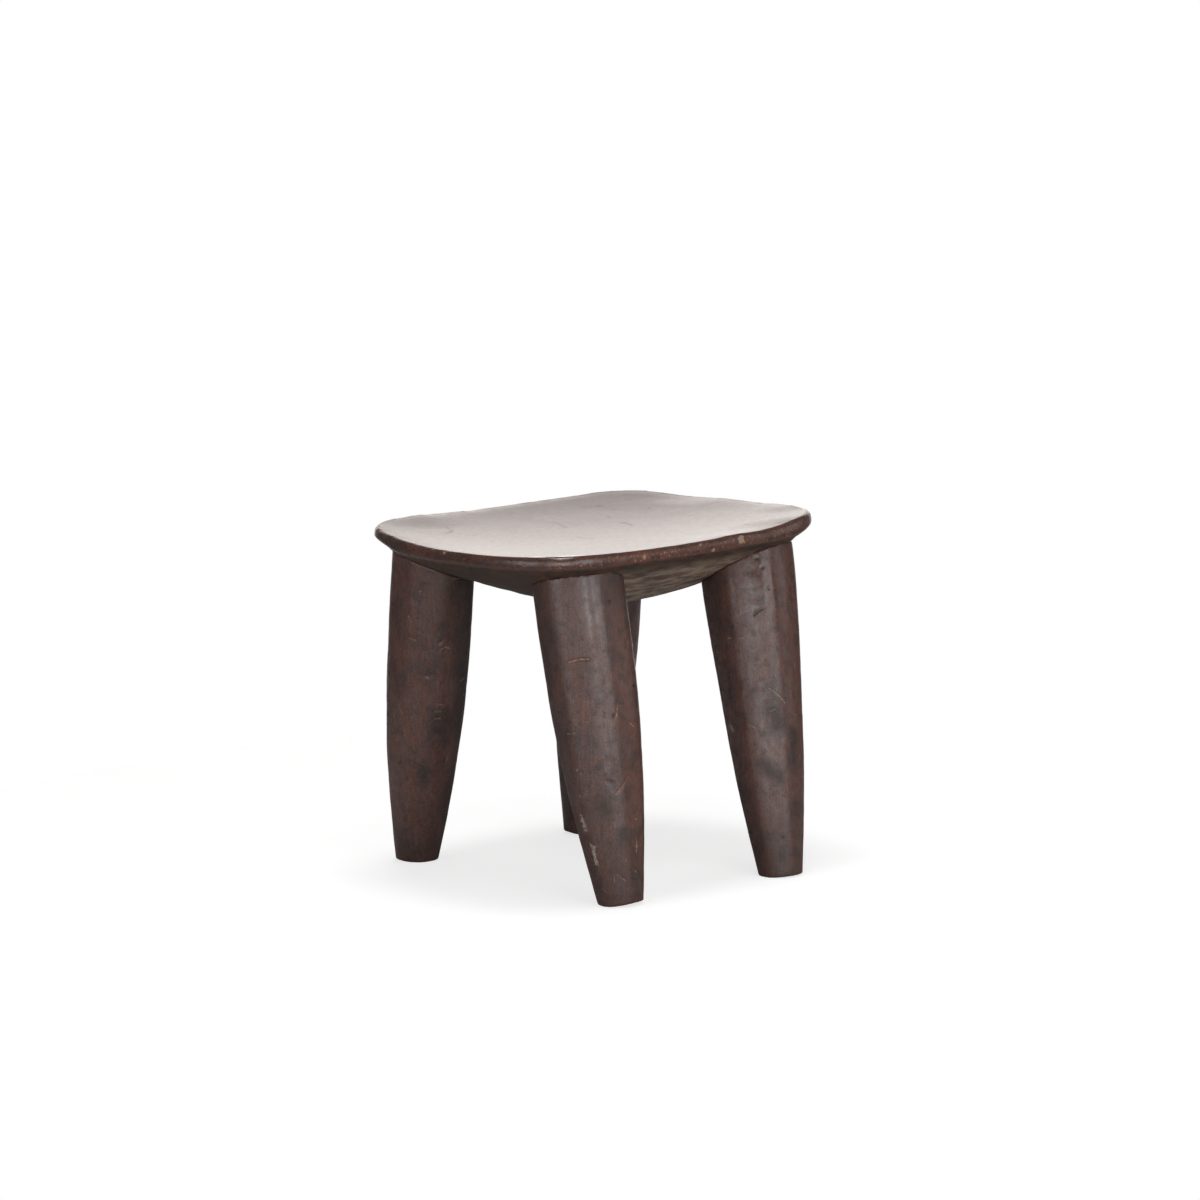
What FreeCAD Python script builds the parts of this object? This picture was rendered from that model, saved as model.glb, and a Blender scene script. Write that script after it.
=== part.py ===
import FreeCAD, Part
import math
import os
import Sketcher

from FreeCAD import Placement, Rotation, Vector

# A carved four-legged stool: a dished seat, four splayed legs and the wedges that lock their tenons.
# Origin on the ground under the middle of the seat, +Z up, +Y along the seat, millimetres and degrees.

# Driving sizes: alias, value, what it measures
SIZES = (
    ("seat_height", 337.2, "lowest point of the dish above the ground"),
    ("seat_width", 333.0, "seat across its long sides, along X"),
    ("seat_length", 413.0, "seat from end to end, along Y"),
    ("side_radius", 826.0, "bulge of the long sides, seen from above"),
    ("end_radius", 327.0, "bulge of the short ends, seen from above"),
    ("corner_radius", 77.0, "rounding of the corners, seen from above"),
    ("dish_radius_across", 1260.0, "hollow of the dish across the seat"),
    ("dish_radius_along", 2260.0, "hollow of the dish along the seat"),
    ("dish_turn", 17.0, "how far the dish runs askew to the seat"),
    ("rim_thickness", 13.5, "rim at the middle of a long side"),
    ("rim_lean", 2.0, "how far the rim's top edge stands in from its base"),
    ("rim_top_rounding", 3.0, "rounding of the rim's top edge"),
    ("rim_base_rounding", 4.0, "rounding of the rim's lower edge"),
    ("hull_depth", 65.0, "belly of the underside below the rim"),
    ("hull_roundness", 1.5, "1 gives a straight cone, 2 a round bowl"),
    ("keel_width", 40.0, "flat in the middle of the underside"),
    ("keel_aside", 6.5, "that flat off the seat's middle, along X"),
    ("keel_along", 7.5, "that flat off the seat's middle, along Y"),
    ("front_left_inset_side", 59.2, "front left leg's head in from the seat's long side"),
    ("front_left_inset_end", 89.8, "front left leg's head in from the seat's end"),
    ("front_left_splay", 58.4, "front left foot out from the head, along X"),
    ("front_left_toe_in", 13.9, "front left foot in from the head, along Y"),
    ("front_left_foot_width", 43.0, "front left leg where it meets the ground"),
    ("front_left_ankle_width", 62.4, "front left leg a fifth of the way up"),
    ("front_left_calf_width", 75.7, "front left leg two fifths of the way up"),
    ("front_left_thigh_width", 82.0, "front left leg three fifths of the way up"),
    ("front_left_head_width", 83.4, "front left leg under the seat"),
    ("front_right_inset_side", 63.7, "front right leg's head in from the seat's long side"),
    ("front_right_inset_end", 92.6, "front right leg's head in from the seat's end"),
    ("front_right_splay", 52.0, "front right foot out from the head, along X"),
    ("front_right_toe_in", 3.0, "front right foot in from the head, along Y"),
    ("front_right_foot_width", 45.0, "front right leg where it meets the ground"),
    ("front_right_ankle_width", 65.2, "front right leg a fifth of the way up"),
    ("front_right_calf_width", 80.0, "front right leg two fifths of the way up"),
    ("front_right_thigh_width", 88.2, "front right leg three fifths of the way up"),
    ("front_right_head_width", 91.0, "front right leg under the seat"),
    ("back_right_inset_side", 65.2, "back right leg's head in from the seat's long side"),
    ("back_right_inset_end", 96.8, "back right leg's head in from the seat's end"),
    ("back_right_splay", 64.5, "back right foot out from the head, along X"),
    ("back_right_toe_in", 18.1, "back right foot in from the head, along Y"),
    ("back_right_foot_width", 44.0, "back right leg where it meets the ground"),
    ("back_right_ankle_width", 61.8, "back right leg a fifth of the way up"),
    ("back_right_calf_width", 75.3, "back right leg two fifths of the way up"),
    ("back_right_thigh_width", 84.9, "back right leg three fifths of the way up"),
    ("back_right_head_width", 93.0, "back right leg under the seat"),
    ("back_left_inset_side", 58.2, "back left leg's head in from the seat's long side"),
    ("back_left_inset_end", 98.9, "back left leg's head in from the seat's end"),
    ("back_left_splay", 36.7, "back left foot out from the head, along X"),
    ("back_left_toe_in", 2.8, "back left foot in from the head, along Y"),
    ("back_left_foot_width", 44.0, "back left leg where it meets the ground"),
    ("back_left_ankle_width", 62.3, "back left leg a fifth of the way up"),
    ("back_left_calf_width", 79.0, "back left leg two fifths of the way up"),
    ("back_left_thigh_width", 87.6, "back left leg three fifths of the way up"),
    ("back_left_head_width", 87.6, "back left leg under the seat"),
    ("shoulder_gap", 0.15, "seam between a leg's shoulder and the seat"),
    ("tenon_diameter", 44.0, "round tenon on a leg's head"),
    ("tenon_cover", 7.0, "tenon's end below the level of the dish"),
    ("tenon_clearance", 0.1, "tenon to mortise, all round"),
    ("tenon_end_gap", 1.5, "tenon's end to the bottom of its mortise"),
    ("wedge_length", 20.0, "wedge along the tenon"),
    ("wedge_width", 36.0, "wedge across the tenon"),
    ("wedge_thick_end", 5.0, "wedge where it bears on the mortise"),
    ("wedge_thin_end", 1.5, "wedge at its tip"),
    ("wedge_clearance", 0.1, "wedge to kerf and to the mortise's bottom"),
)

# Where each leg stands: side of the seat along X, end of the seat along Y
LEGS = {
    "front_left": (-1, -1),
    "front_right": (1, -1),
    "back_right": (1, 1),
    "back_left": (-1, 1),
}
HULL_SECTIONS = 5
LEG_STATIONS = ("foot", "ankle", "calf", "thigh", "head", "head")
TENON_STATION = LEG_STATIONS.index("thigh")
EDGE_TOLERANCE = 0.01

# How a sketch numbers the points of a line or arc, and its own axes
START, END, CENTRE = range(1, 4)
X_AXIS, Y_AXIS = range(-1, -3, -1)
ORIGIN = (X_AXIS, START)

# Lengths worked out from the driving sizes
SIDE_RISE = "sizes.seat_width ^ 2 / (8 * sizes.dish_radius_across)"
RIM_BASE = f"(sizes.seat_height + {SIDE_RISE} - sizes.rim_thickness)"
RIM_RISE = "(sizes.seat_length ^ 2 / (4 * sizes.dish_radius_across) + sizes.rim_thickness)"
TENON_ROOT = f"({RIM_BASE} * {TENON_STATION} / {len(LEG_STATIONS) - 1})"

doc = FreeCAD.newDocument("stool")
sizes = doc.addObject("Spreadsheet::Sheet", "sizes")
for row, (alias, value, meaning) in enumerate(SIZES, start=1):
    sizes.set(f"A{row}", meaning)
    sizes.set(f"B{row}", str(value))
    sizes.setAlias(f"B{row}", alias)
doc.recompute()


def bind(thing, expressions):
    """Ties properties of an object to the sheet."""
    for path, expression in expressions.items():
        thing.setExpression(path, expression)


def new_body(name):
    """An empty body with its three origin planes."""
    body = doc.addObject("PartDesign::Body", name)
    doc.recompute()
    return body


def new_sketch(body, name, plane_role, offset):
    """A sketch on one of the body's own planes, with the expressions of its offset from that plane."""
    planes = {feature.Role: feature for feature in body.Origin.OriginFeatures}
    sketch = body.newObject("Sketcher::SketchObject", name)
    sketch.AttachmentSupport = [(planes[plane_role], "")]
    sketch.MapMode = "FlatFace"
    bind(sketch, {f"AttachmentOffset.Base.{axis}": expression for axis, expression in offset.items()})
    return sketch


def add_datum(sketch, name, expression, *constraint):
    """A named dimension of a sketch, tied to the sheet."""
    index = sketch.addConstraint(Sketcher.Constraint(*constraint))
    sketch.renameConstraint(index, name)
    sketch.setExpression(f"Constraints.{name}", expression)


def loft(body, name, sketches, ruled=False):
    """A solid through a row of sections."""
    feature = body.newObject("PartDesign::AdditiveLoft", name)
    feature.Profile = sketches[0]
    feature.Sections = sketches[1:]
    feature.Ruled = ruled
    doc.recompute()
    return feature


def corner_centre(half_width, half_length, side_radius, end_radius, corner_radius):
    """Centre of the corner arc that touches the side arc and the end arc from inside."""
    side_centre = Vector(half_width - side_radius, 0, 0)
    end_centre = Vector(0, half_length - end_radius, 0)
    from_side = side_radius - corner_radius
    from_end = end_radius - corner_radius
    between = end_centre - side_centre
    along = (from_side ** 2 - from_end ** 2 + between.Length ** 2) / (2 * between.Length)
    across = math.sqrt(from_side ** 2 - along ** 2)
    unit = Vector(between).normalize()
    return side_centre + unit * along + Vector(-unit.y, unit.x, 0) * across


def seat_outline(body, name, share, share_expression, middle):
    """The seat's plan, eight arcs that touch, drawn at a share of its full size about a given middle."""
    half_width = sizes.seat_width * share / 2
    half_length = sizes.seat_length * share / 2
    side_radius = sizes.side_radius * share
    end_radius = sizes.end_radius * share
    corner_radius = sizes.corner_radius * share
    corner = corner_centre(half_width, half_length, side_radius, end_radius, corner_radius)
    side_turn = math.atan2(corner.y, corner.x - (half_width - side_radius))
    end_turn = math.atan2(corner.y - (half_length - end_radius), corner.x)

    # Centre, radius, first and last angle of each arc, anticlockwise from the +X side
    side_x = half_width - side_radius
    end_y = half_length - end_radius
    arcs = (
        ((side_x, 0), side_radius, -side_turn, side_turn),
        ((corner.x, corner.y), corner_radius, side_turn, end_turn),
        ((0, end_y), end_radius, end_turn, math.pi - end_turn),
        ((-corner.x, corner.y), corner_radius, math.pi - end_turn, math.pi - side_turn),
        ((-side_x, 0), side_radius, math.pi - side_turn, math.pi + side_turn),
        ((-corner.x, -corner.y), corner_radius, math.pi + side_turn, math.pi + end_turn),
        ((0, -end_y), end_radius, math.pi + end_turn, 2 * math.pi - end_turn),
        ((corner.x, -corner.y), corner_radius, -end_turn, -side_turn),
    )
    sketch = new_sketch(body, name, "XY_Plane", middle)
    for (x, y), radius, first, last in arcs:
        circle = Part.Circle(Vector(x, y, 0), Vector(0, 0, 1), radius)
        sketch.addGeometry(Part.ArcOfCircle(circle, first, last))

    # Arcs touch end to start, opposite arcs are equal, side and end arcs are centred on the axes
    for arc in range(len(arcs)):
        following = (arc + 1) % len(arcs)
        sketch.addConstraint(Sketcher.Constraint("Tangent", arc, END, following, START))
    for first, second in ((0, 4), (2, 6), (1, 3), (3, 5), (5, 7)):
        sketch.addConstraint(Sketcher.Constraint("Equal", first, second))
    for arc, axis in ((0, X_AXIS), (4, X_AXIS), (2, Y_AXIS), (6, Y_AXIS)):
        sketch.addConstraint(Sketcher.Constraint("PointOnObject", arc, CENTRE, axis))
    add_datum(sketch, "side", f"sizes.side_radius * {share_expression}", "Radius", 0, side_radius)
    add_datum(sketch, "corner", f"sizes.corner_radius * {share_expression}", "Radius", 1, corner_radius)
    add_datum(sketch, "end", f"sizes.end_radius * {share_expression}", "Radius", 2, end_radius)
    side_offset = f"(sizes.side_radius - sizes.seat_width / 2) * {share_expression}"
    end_offset = f"(sizes.end_radius - sizes.seat_length / 2) * {share_expression}"
    add_datum(sketch, "right", side_offset, "DistanceX", 0, CENTRE, *ORIGIN, -side_x)
    add_datum(sketch, "left", side_offset, "DistanceX", *ORIGIN, 4, CENTRE, -side_x)
    add_datum(sketch, "far", end_offset, "DistanceY", 2, CENTRE, *ORIGIN, -end_y)
    add_datum(sketch, "near", end_offset, "DistanceY", *ORIGIN, 6, CENTRE, -end_y)
    return sketch


def edges_in_band(shape, lowest, highest):
    """Names of the edges that lie wholly between two heights."""
    names = []
    for number, edge in enumerate(shape.Edges, start=1):
        box = edge.BoundBox
        if box.ZMin > lowest and box.ZMax < highest:
            names.append(f"Edge{number}")
    return names


def round_edges(body, name, base, edges, radius_expression):
    """A fillet along some edges of a feature."""
    feature = body.newObject("PartDesign::Fillet", name)
    feature.Base = (base, edges)
    feature.setExpression("Radius", radius_expression)
    doc.recompute()
    return feature


def cut_dish(body):
    """The dish, a shallow barrel turned about a level axis high above the seat and askew to it."""
    axis_height = "sizes.seat_height + sizes.dish_radius_across"
    sketch = new_sketch(body, "dish_profile", "YZ_Plane", {"y": axis_height})
    askew = Rotation(Vector(0, 1, 0), sizes.dish_turn)
    sketch.AttachmentOffset = Placement(sketch.AttachmentOffset.Base, askew)
    sketch.setExpression("AttachmentOffset.Rotation.Angle", "sizes.dish_turn")

    # One long arc below, closed by straight lines up to the axis
    reach = sizes.seat_length
    centre_y = sizes.dish_radius_along - sizes.dish_radius_across
    drop = math.sqrt(sizes.dish_radius_along ** 2 - reach ** 2) - centre_y
    spread = math.atan2(reach, drop + centre_y)
    straight_down = 1.5 * math.pi
    circle = Part.Circle(Vector(0, centre_y, 0), Vector(0, 0, 1), sizes.dish_radius_along)
    sketch.addGeometry(Part.ArcOfCircle(circle, straight_down - spread, straight_down + spread))
    corners = [(reach, -drop), (reach, 0), (-reach, 0), (-reach, -drop)]
    for first, second in zip(corners, corners[1:]):
        sketch.addGeometry(Part.LineSegment(Vector(*first, 0), Vector(*second, 0)))
    arc, right, axis, left = range(4)
    for first, second in ((arc, right), (right, axis), (axis, left)):
        sketch.addConstraint(Sketcher.Constraint("Coincident", first, END, second, START))
    sketch.addConstraint(Sketcher.Constraint("Coincident", left, END, arc, START))
    for line in (right, left):
        sketch.addConstraint(Sketcher.Constraint("Vertical", line))
    for point in (START, END):
        sketch.addConstraint(Sketcher.Constraint("PointOnObject", axis, point, X_AXIS))
    sketch.addConstraint(Sketcher.Constraint("PointOnObject", arc, CENTRE, Y_AXIS))
    add_datum(sketch, "hollow", "sizes.dish_radius_along", "Radius", arc, sizes.dish_radius_along)
    rise = "sizes.dish_radius_along - sizes.dish_radius_across"
    add_datum(sketch, "axis_rise", rise, "DistanceY", *ORIGIN, arc, CENTRE, centre_y)
    add_datum(sketch, "right_reach", "sizes.seat_length", "DistanceX", *ORIGIN, axis, START, reach)
    add_datum(sketch, "left_reach", "sizes.seat_length", "DistanceX", axis, END, *ORIGIN, reach)
    doc.recompute()
    dish = body.newObject("PartDesign::Groove", "dish")
    dish.Profile = sketch
    dish.ReferenceAxis = (sketch, ["H_Axis"])
    dish.Angle = 360
    doc.recompute()
    return dish


def seat_blank():
    """The seat before its mortises are cut: a bowl-shaped underside, a leaning rim and the dish."""
    body = new_body("seat_blank")

    # Underside, from the small flat in the middle out to the rim
    sections = []
    for number in range(HULL_SECTIONS):
        step = number / (HULL_SECTIONS - 1)
        share = step + (1 - step) * sizes.keel_width / sizes.seat_width
        share_expression = f"({step} + {1 - step} * sizes.keel_width / sizes.seat_width)"
        middle = {
            "x": f"sizes.keel_aside * {1 - step}",
            "y": f"sizes.keel_along * {1 - step}",
            "z": f"{RIM_BASE} - sizes.hull_depth * (1 - {step} ^ sizes.hull_roundness)",
        }
        sections.append(seat_outline(body, f"hull_{number}", share, share_expression, middle))
    loft(body, "hull", sections)

    # Rim, left tall enough for the dish to cut its top edge all round
    top_share = 1 - 2 * sizes.rim_lean / sizes.seat_width
    top_expression = "(1 - 2 * sizes.rim_lean / sizes.seat_width)"
    rim_base = seat_outline(body, "rim_base", 1, "1", {"z": RIM_BASE})
    rim_top = seat_outline(body, "rim_top", top_share, top_expression, {"z": f"{RIM_BASE} + {RIM_RISE}"})
    rim = loft(body, "rim", [rim_base, rim_top], ruled=True)

    dish = cut_dish(body)
    if not dish.Shape.Volume < rim.Shape.Volume:
        raise RuntimeError("the dish cuts nothing from the seat")

    # Worn edges of the rim
    base_height = rim_base.Placement.Base.z
    crest = dish.Shape.BoundBox.ZMax + EDGE_TOLERANCE
    upper = edges_in_band(dish.Shape, base_height + EDGE_TOLERANCE, crest)
    rounded = round_edges(body, "rim_top_edge", dish, upper, "sizes.rim_top_rounding")
    lower = edges_in_band(rounded.Shape, base_height - EDGE_TOLERANCE, base_height + EDGE_TOLERANCE)
    round_edges(body, "rim_base_edge", rounded, lower, "sizes.rim_base_rounding")
    return body


class Leg:
    """Expressions of the places on one leg, from its name and the corner of the seat above it."""

    def __init__(self, name, side, end):
        self.name = name
        self.side = side
        self.end = end
        self.head_x = f"(sizes.seat_width / 2 - sizes.{name}_inset_side)"
        self.head_y = f"(sizes.seat_length / 2 - sizes.{name}_inset_end)"
        self.splay = f"sizes.{name}_splay"
        self.toe_in = f"sizes.{name}_toe_in"
        self.tilt = f"atan(hypot({self.splay}; {self.toe_in}) / {RIM_BASE})"
        self.tenon_length = f"((sizes.seat_height - sizes.tenon_cover - {TENON_ROOT}) / cos({self.tilt}))"
        self.mortise_length = f"({self.tenon_length} + sizes.tenon_end_gap)"

    def centre(self, station):
        """Middle of the leg at one of its evenly spaced stations, counted from the ground."""
        down = 1 - station / (len(LEG_STATIONS) - 1)
        return {
            "x": f"({self.side}) * ({self.head_x} + {self.splay} * {down})",
            "y": f"({self.end}) * ({self.head_y} - {self.toe_in} * {down})",
            "z": f"{RIM_BASE} * (1 - {down})",
        }

    def tenon_frame(self):
        """Frame at the tenon's root: Z up along the leg, X out towards the seat's corner."""
        root = self.centre(TENON_STATION)
        tilt_axis = f"vector(-({self.end}) * {self.toe_in}; -({self.side}) * {self.splay}; 0)"
        outward = f"atan2(({self.end}) * {self.head_y}; ({self.side}) * {self.head_x})"
        turn = f"rotation({tilt_axis}; {self.tilt}) * rotation(vector(0; 0; 1); {outward})"
        return f"placement(vector({root['x']}; {root['y']}; {root['z']}); {turn})"


def leg_blank(leg):
    """A leg before its shoulder is cut: round sections from the foot up to the rim."""
    body = new_body(f"leg_blank_{leg.name}")
    sections = []
    for station, part in enumerate(LEG_STATIONS):
        width = f"{leg.name}_{part}_width"
        sketch = new_sketch(body, f"{part}_{station}_{leg.name}", "XY_Plane", leg.centre(station))
        sketch.addGeometry(Part.Circle(Vector(0, 0, 0), Vector(0, 0, 1), sizes.get(width) / 2))
        sketch.addConstraint(Sketcher.Constraint("Coincident", 0, CENTRE, *ORIGIN))
        add_datum(sketch, "width", f"sizes.{width}", "Diameter", 0, sizes.get(width))
        sections.append(sketch)
    loft(body, f"leg_loft_{leg.name}", sections)
    return body


def round_bar(name, place, radius, length):
    """A cylinder along a leg's axis."""
    bar = doc.addObject("Part::Cylinder", name)
    bind(bar, {"Radius": radius, "Height": length, "Placement": place})
    return bar


def tapered_bar(name, place, width, thin_end, thick_end, top, length):
    """A wedge-shaped bar across a tenon, thick end up."""
    body = new_body(name)
    sketch = new_sketch(body, f"{name}_side", "XZ_Plane", {})

    # Drawn roughly, then brought to size by its dimensions
    rough = 1.0
    corners = [(-rough, rough), (rough, rough), (2 * rough, 2 * rough), (-2 * rough, 2 * rough)]
    for first, second in zip(corners, corners[1:] + corners[:1]):
        sketch.addGeometry(Part.LineSegment(Vector(*first, 0), Vector(*second, 0)))
    tip, right, head, left = range(4)
    for first, second in ((tip, right), (right, head), (head, left), (left, tip)):
        sketch.addConstraint(Sketcher.Constraint("Coincident", first, END, second, START))
    for line in (tip, head):
        sketch.addConstraint(Sketcher.Constraint("Symmetric", line, START, line, END, Y_AXIS))
    add_datum(sketch, "thin_end", thin_end, "DistanceX", tip, START, tip, END, 2 * rough)
    add_datum(sketch, "thick_end", thick_end, "DistanceX", head, END, head, START, 4 * rough)
    add_datum(sketch, "length", length, "DistanceY", tip, START, head, END, rough)
    add_datum(sketch, "top", top, "DistanceY", *ORIGIN, head, END, 2 * rough)
    pad = body.newObject("PartDesign::Pad", f"{name}_pad")
    pad.Profile = sketch
    pad.Midplane = True
    pad.setExpression("Length", width)
    body.setExpression("Placement", place)
    doc.recompute()
    return body


def boolean(kind, name, base, tool):
    """One solid joined to or cut by another."""
    feature = doc.addObject(f"Part::{kind}", name)
    feature.Base = base
    feature.Tool = tool
    return feature


def build_leg(leg, scribe):
    """A leg with its scribed shoulder and slotted tenon, its wedge, and the mortise that takes it."""
    name = leg.name
    place = leg.tenon_frame()
    shouldered = boolean("Cut", f"shouldered_{name}", leg_blank(leg), scribe)
    tenon = round_bar(f"tenon_{name}", place, "sizes.tenon_diameter / 2", leg.tenon_length)
    tenoned = boolean("Fuse", f"tenoned_{name}", shouldered, tenon)
    kerf = tapered_bar(
        f"kerf_{name}",
        place,
        "sizes.tenon_diameter",
        "sizes.wedge_thin_end + 2 * sizes.wedge_clearance",
        "sizes.wedge_thick_end + 2 * sizes.wedge_clearance",
        leg.mortise_length,
        "sizes.wedge_length + 2 * sizes.wedge_clearance",
    )
    kerfed = boolean("Cut", f"leg_{name}", tenoned, kerf)
    wedge = tapered_bar(
        f"tenon_wedge_{name}",
        place,
        "sizes.wedge_width",
        "sizes.wedge_thin_end",
        "sizes.wedge_thick_end",
        f"{leg.mortise_length} - sizes.wedge_clearance",
        "sizes.wedge_length",
    )
    bore = "sizes.tenon_diameter / 2 + sizes.tenon_clearance"
    mortise = round_bar(f"mortise_{name}", place, bore, leg.mortise_length)
    return kerfed, wedge, mortise


# The underside of the seat, let down by the seam, is what each leg's shoulder is cut to
blank = seat_blank()
scribe = doc.addObject("Part::Compound", "scribe")
scribe.Links = [blank]
scribe.setExpression("Placement.Base.z", "-sizes.shoulder_gap")

built = [build_leg(Leg(name, side, end), scribe) for name, (side, end) in LEGS.items()]
legs, wedges, mortises = zip(*built)
all_mortises = doc.addObject("Part::MultiFuse", "all_mortises")
all_mortises.Shapes = list(mortises)
seat = boolean("Cut", "seat", blank, all_mortises)
doc.recompute()

# Nothing is written unless every object is sound and every piece is one valid solid
for thing in doc.Objects:
    if {"Invalid", "Error"} & set(thing.State):
        raise RuntimeError(f"{thing.Label} failed: {thing.State}")
pieces = [seat, *legs, *wedges]
for piece in pieces:
    if piece.Shape.isNull() or not piece.Shape.isValid() or len(piece.Shape.Solids) != 1:
        raise RuntimeError(f"{piece.Label} is not one valid solid")
os.makedirs("parts", exist_ok=True)
for piece in pieces:
    piece.Shape.exportStep(f"parts/{piece.Label}.step")
    print(f"{piece.Label}: {piece.Shape.Volume / 1000:.1f} cm3")
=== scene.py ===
"""Looks of a carved four-legged stool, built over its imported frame.

The frame is in metres. Carving is worked out in millimetres and degrees, and its marks sit where the
photograph shows them.
"""

from itertools import product
from math import cos, pi, radians, sin

import bpy
import numpy as np
from mathutils import Matrix, Vector


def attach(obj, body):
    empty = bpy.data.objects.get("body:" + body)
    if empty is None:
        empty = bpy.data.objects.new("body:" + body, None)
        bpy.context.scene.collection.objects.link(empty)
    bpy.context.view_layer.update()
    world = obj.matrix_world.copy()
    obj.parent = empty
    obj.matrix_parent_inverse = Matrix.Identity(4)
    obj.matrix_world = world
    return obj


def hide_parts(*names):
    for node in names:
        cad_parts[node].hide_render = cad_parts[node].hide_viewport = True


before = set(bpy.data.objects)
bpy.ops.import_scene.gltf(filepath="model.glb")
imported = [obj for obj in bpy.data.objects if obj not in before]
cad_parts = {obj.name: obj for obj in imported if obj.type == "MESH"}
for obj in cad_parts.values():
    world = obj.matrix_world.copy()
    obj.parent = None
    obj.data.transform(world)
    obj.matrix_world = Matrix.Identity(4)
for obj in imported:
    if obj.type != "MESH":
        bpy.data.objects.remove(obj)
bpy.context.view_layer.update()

MM = 0.001

# The camera, found by laying the solids over the photograph
PHOTO_WIDTH = 1200
PIXEL_AT_AIM = 1.0 * MM
CAMERA_AZIMUTH = 49.04
CAMERA_ELEVATION = 10.08
CAMERA_ROLL = 1.4
CAMERA_DISTANCE = 7.7
SENSOR_WIDTH = 36.0
AIM_POINT = Vector((0.0, 0.0, 0.18))
AIM_PIXEL = (597.3, 688.84)

# The lamps: degrees aside of the camera and above the level, width, height, radiance and colour
SOFTBOX_DISTANCE = 3.0
LAMP_WHITE = (1.0, 1.0, 1.0)
WALL_COLOUR = (1.0, 0.90, 0.83)
LAMPS = {
    "softbox_front": (8, 1, 2.9, 1.2, 2.2, LAMP_WHITE),
    "softbox_strip": (6, 0, 0.6, 1.2, 2.9, LAMP_WHITE),
    "softbox_right": (44, 8, 1.6, 1.5, 3.0, LAMP_WHITE),
    "softbox_left": (-44, 8, 1.7, 1.5, 2.9, LAMP_WHITE),
    "softbox_side": (92, 8, 2.2, 1.5, 0.9, LAMP_WHITE),
    "softbox_high": (12, 62, 0.7, 0.7, 4.0, LAMP_WHITE),
    "softbox_overhead": (0, 89, 0.8, 0.8, 16.0, LAMP_WHITE),
    "wall_low": (180, 6, 2.0, 1.1, 1.65, WALL_COLOUR),
    "wall_high": (180, 27, 2.4, 1.3, 0.45, WALL_COLOUR),
}

# The studio's dim walls, and the white one behind the stool: cosines of the turn where it starts and is full
STUDIO_GREY = (0.12, 0.12, 0.12, 1.0)
PURE_WHITE = (1.0, 1.0, 1.0, 1.0)
WALL_STARTS = 0.85
WALL_FULL = 0.97

# The floor
FLOOR_RADIUS = 0.8
FLOOR_CORNERS = 96
FLOOR_LEVEL = -0.2 * MM
# Its paint as the camera and gloss see it, its paint to all other rays, and its glow to the camera
FLOOR_SEEN = (0.5, 0.5, 0.5, 1.0)
FLOOR_BOUNCE = (0.8, 0.8, 0.8, 1.0)
FLOOR_GLOW = 0.71

# Sizes of the even meshes that are carved, and the rounds that take out their steps, in and then out again
LEG_VOXEL = 1.2 * MM
SEAT_VOXEL = 2.0 * MM
SETTLE_ROUNDS = 6
SETTLE_SHARES = (0.5, -0.52)
# How far a round of softening takes a point towards the mean of its neighbours
SOFTEN_SHARE = 0.5

# How far outside every mark a point counts that lies near none of them
UNMARKED = -9.0

# The legs: mean radius, radius of the heads, and the radii from the tenon out to the skin that is carved
LEG_RADIUS = 40.0
LEG_HEAD_RADIUS = 44.0
LEG_SKIN = (24.0, 28.0)
# Heights of the two rings that give a leg's middle line, and how far above and below a ring reaches
RING_HEIGHTS = (30.0, 220.0)
RING_REACH = 2.0
# How far apart the seeds of the legs' marks and noise are
LEG_SEED_STEP = 100

# Long flats left by the adze round each leg: where the first one looks, and their share of the radius
FACET_COUNT = 6
FACETS = {
    "leg_front_left": (-38.0, 0.012),
    "leg_front_right": (-50.0, 0.022),
    "leg_back_right": (-40.0, 0.024),
    "leg_back_left": (-30.0, 0.020),
}
# How soft the edges between those flats are
FACET_EDGE = 1.4

# Hollows left by the adze on the legs: depth, size and step of the seed
LEG_HOLLOWS = (
    (0.45, 38.0, 0),
    (0.14, 9.0, 1),
    (0.05, 4.5, 3),
)

# Where a foot's lower edge is worn away: turn about the leg and height lost
FOOT_WEAR = {
    "leg_front_left": (-125.0, 1.5),
    "leg_front_right": (15.0, 3.5),
    "leg_back_right": (10.0, 1.5),
    "leg_back_left": (-120.0, 2.5),
}
# That wear fades out over these degrees and up to this height
FOOT_WEAR_TURNS = (100.0, 10.0)
FOOT_WEAR_HEIGHT = 25.0

# Sides of the legs that are redder where worn, and sides darkened with painted shade: colour field, turn
# about the leg, spread and strength
LEG_SIDES = {
    "leg_front_left": [("stain_and_shade", 45.0, 55.0, 1.0)],
    "leg_front_right": [("worn", 22.0, 40.0, 0.9), ("stain_and_shade", -125.0, 60.0, 0.5)],
    "leg_back_right": [("worn", 18.0, 40.0, 0.9)],
    "leg_back_left": [("stain_and_shade", -60.0, 80.0, 0.5)],
}
# The share of the spread with full colour, and how their edges wander: degrees, size and step of the seed
SIDE_FULL = 0.4
SIDE_WANDER = 20.0
SIDE_WANDER_SIZE = 30.0
SIDE_WANDER_STEP = 4

# How much darker the legs grow towards the feet and between which heights that fades, and how polished the
# shiny places are
FOOT_DARKNESS = 0.5
FOOT_DARK_HEIGHTS = (110.0, 10.0)
LEG_POLISH = 0.8

# How far a leg's points stand out, or lie back, where they are worn or grimy, and the rounds that find it
LEG_STANDS_OUT = (0.1, 0.5)
LEG_BULGE_ROUNDS = 12

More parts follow.
